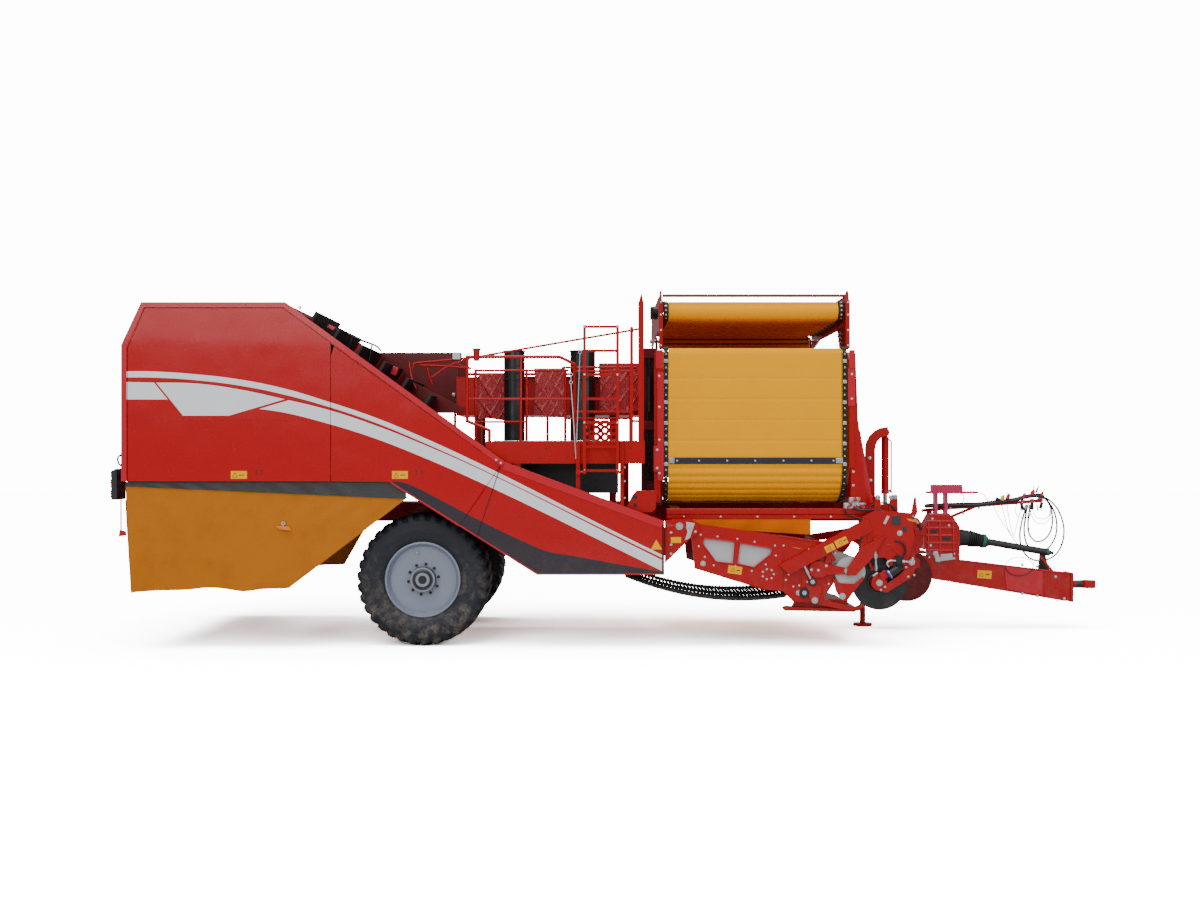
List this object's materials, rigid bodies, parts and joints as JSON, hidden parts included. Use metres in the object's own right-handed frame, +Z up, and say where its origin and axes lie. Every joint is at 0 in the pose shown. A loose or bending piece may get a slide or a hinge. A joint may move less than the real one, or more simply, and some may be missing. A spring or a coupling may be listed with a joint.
{
  "type": "potato harvester",
  "caption": "Trailed side-digging potato harvester with a folded unloading elevator over its bunker, picking platform, skirted rear housing and steered wide wheels.",
  "frame": {"origin": "floor level, under the middle of the overall box", "axes": "+X towards the drawbar eye, +Y to the left side of the machine, +Z up"},
  "size_m": [11.24, 3.33, 3.915],
  "materials": {
    "red_paint": "glossy",
    "dark_red": "satin",
    "slate_paint": "satin",
    "grey_paint": "satin",
    "rim_paint": "satin",
    "yellow_belt": "satin",
    "yellow_sheet": "satin",
    "black_rubber": "matte",
    "tyre": "matte",
    "dark_steel": "satin",
    "steel": "polished"
  },
  "bodies": {
    "chassis": {"axle_beam": "red_paint", "bunker_belt": "yellow_belt", "bunker_sill": "yellow_sheet", "bunker_wall_front": "red_paint", "bunker_wall_rear": "red_paint", "channel_inner_wall": "red_paint", "cross_belt": "black_rubber", "discard_chute_front": "black_rubber", "discard_chute_rear": "black_rubber", "feed_trough": "dark_red", "frame_rails": "red_paint", "haulm_strippers": "black_rubber", "housing_frame": "red_paint", "left_side_panel": "red_paint", "lift_mast": "red_paint", "main_web": "dark_steel", "picking_table": "red_paint", "pivot_carrier": "red_paint", "platform_left": "red_paint", "platform_rail": "red_paint", "platform_right": "red_paint", "rear_wall": "red_paint", "side_panel_front": "red_paint", "skirt_rail": "slate_paint", "table_curtain": "dark_red", "tail_light_left": "dark_steel", "tail_light_right": "dark_steel", "tarp_skirt": "yellow_sheet"},
    "knuckle_left": {"knuckle_left": "dark_steel"},
    "knuckle_right": {"knuckle_right": "dark_steel"},
    "wheel_left": {"tyre_left": "tyre", "rim_left": "rim_paint"},
    "wheel_right": {"tyre_right": "tyre", "rim_right": "rim_paint"},
    "tie_rod": {"tie_rod": "dark_steel"},
    "rear_side_door": {"rear_side_door": "red_paint"},
    "middle_side_door": {"middle_side_door": "red_paint"},
    "ladder": {"ladder": "red_paint"},
    "jack_leg": {"jack_leg": "red_paint"},
    "digging_unit": {"intake_walls": "red_paint", "intake_web": "dark_steel", "return_strand": "black_rubber", "intake_arm": "red_paint", "disc_motor": "black_rubber"},
    "disc_right": {"disc_right": "black_rubber"},
    "disc_left": {"disc_left": "dark_red"},
    "roller_right": {"ridge_roller_right": "grey_paint"},
    "roller_left": {"ridge_roller_left": "grey_paint"},
    "lift_barrel": {"lift_barrel": "red_paint"},
    "lift_rod": {"lift_rod": "steel"},
    "elevator_lower": {"elevator_lower": "yellow_belt"},
    "elevator_upper": {"elevator_upper": "yellow_belt"},
    "drawbar": {"drawbar": "red_paint", "gearbox": "red_paint", "pto_shaft": "black_rubber", "hose_carrier": "red_paint", "control_box": "red_paint", "hose_outer": "black_rubber", "hose_middle": "black_rubber", "hose_inner": "black_rubber"}
  },
  "joints": [
    {"name": "steer_left", "type": "hinge", "parent": "chassis", "child": "knuckle_left", "pos_m": [-2.295, 0.62, 0.725], "axis": [0, 0, 1], "range_deg": [-12, 12]},
    {"name": "steer_right", "type": "hinge", "parent": "chassis", "child": "knuckle_right", "pos_m": [-2.295, -0.62, 0.725], "axis": [0, 0, 1], "range_deg": [-12, 12]},
    {"name": "tie_rod_pivot", "type": "hinge", "parent": "knuckle_left", "child": "tie_rod", "pos_m": [-1.995, 0.62, 0.725], "axis": [0, 0, 1], "range_deg": [-12, 12]},
    {"name": "wheel_left_spin", "type": "hinge", "parent": "knuckle_left", "child": "wheel_left", "pos_m": [-2.295, 1.095, 0.725], "axis": [0, 1, 0], "continuous": true},
    {"name": "wheel_right_spin", "type": "hinge", "parent": "knuckle_right", "child": "wheel_right", "pos_m": [-2.295, -1.095, 0.725], "axis": [0, 1, 0], "continuous": true},
    {"name": "rear_door_hinge", "type": "hinge", "parent": "chassis", "child": "rear_side_door", "pos_m": [-4.5, -1.651, 3.658], "axis": [-1, 0, 0], "range_deg": [0, 85]},
    {"name": "middle_door_hinge", "type": "hinge", "parent": "chassis", "child": "middle_side_door", "pos_m": [-3.2433, -1.651, 3.2724], "axis": [-0.8134, 0, 0.5817], "range_deg": [0, 85]},
    {"name": "ladder_fold", "type": "hinge", "parent": "chassis", "child": "ladder", "pos_m": [-0.36, -1.645, 1.9], "axis": [1, 0, 0], "range_deg": [0, 172]},
    {"name": "digging_lift", "type": "hinge", "parent": "chassis", "child": "digging_unit", "pos_m": [0.615, -0.8, 1.307], "axis": [0, 1, 0], "range_deg": [-2, 6.5]},
    {"name": "lift_barrel_pivot", "type": "hinge", "parent": "chassis", "child": "lift_barrel", "pos_m": [2.86, -0.81, 2.34], "axis": [0, 1, 0], "range_deg": [-3, 3]},
    {"name": "lift_rod_slide", "type": "slide", "parent": "lift_barrel", "child": "lift_rod", "axis": [0, 0, -1], "range_m": [-0.08, 0.26]},
    {"name": "disc_right_spin", "type": "hinge", "parent": "digging_unit", "child": "disc_right", "pos_m": [2.66, -1.4835, 0.708], "axis": [0, 1, 0], "continuous": true},
    {"name": "disc_left_spin", "type": "hinge", "parent": "digging_unit", "child": "disc_left", "pos_m": [3.27, -0.06, 0.65], "axis": [0, 1, 0], "continuous": true},
    {"name": "roller_right_spin", "type": "hinge", "parent": "digging_unit", "child": "roller_right", "pos_m": [2.33, -1.24, 0.826], "axis": [0, 1, 0], "continuous": true},
    {"name": "roller_left_spin", "type": "hinge", "parent": "digging_unit", "child": "roller_left", "pos_m": [2.33, -0.475, 0.826], "axis": [0, 1, 0], "continuous": true},
    {"name": "elevator_swing", "type": "hinge", "parent": "chassis", "child": "elevator_lower", "pos_m": [1.352, 1.36, 1.66], "axis": [-1, 0, 0], "range_deg": [0, 60]},
    {"name": "elevator_unfold", "type": "hinge", "parent": "elevator_lower", "child": "elevator_upper", "pos_m": [1.352, 1.42, 3.55], "axis": [-1, 0, 0], "range_deg": [0, 100]},
    {"name": "drawbar_swing", "type": "hinge", "parent": "chassis", "child": "drawbar", "pos_m": [3.45, 0.26, 0.74], "axis": [0, 0, 1], "range_deg": [-15, 15]},
    {"name": "jack_slide", "type": "slide", "parent": "chassis", "child": "jack_leg", "axis": [0, 0, 1], "range_m": [0, 0.26]}
  ],
  "couplings": [
    {"joint": "steer_right", "follows": "steer_left", "ratio": 1},
    {"joint": "tie_rod_pivot", "follows": "steer_left", "ratio": -1},
    {"joint": "lift_barrel_pivot", "follows": "digging_lift", "ratio": 0.03},
    {"joint": "lift_rod_slide", "follows": "digging_lift", "m_per_rad": 2.245}
  ]
}
